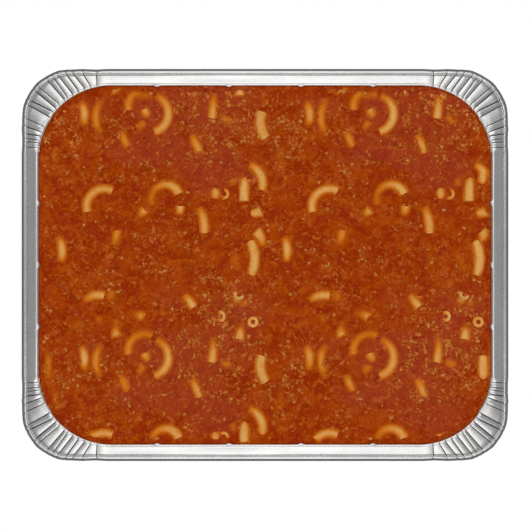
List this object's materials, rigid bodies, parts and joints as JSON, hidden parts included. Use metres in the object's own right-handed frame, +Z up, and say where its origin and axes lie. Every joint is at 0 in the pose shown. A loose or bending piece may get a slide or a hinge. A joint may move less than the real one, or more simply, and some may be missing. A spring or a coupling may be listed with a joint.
{
  "type": "foil tray meal",
  "caption": "Deep rectangular foil tray with a rolled rim and pleated corners, filled with elbow macaroni and ground beef in tomato sauce.",
  "frame": {"origin": "on the table under the middle of the tray", "axes": "+X along the tray's long side, +Y along its short side, +Z up out of the tray"},
  "size_m": [0.324, 0.261, 0.065],
  "materials": {
    "foil": "bright rolled foil with crimped corners",
    "pasta_in_sauce": "moist tomato sauce with pasta and beef crumbs"
  },
  "bodies": {
    "root": {"foil_tray": "foil", "macaroni_in_sauce": "pasta_in_sauce"}
  },
  "joints": []
}
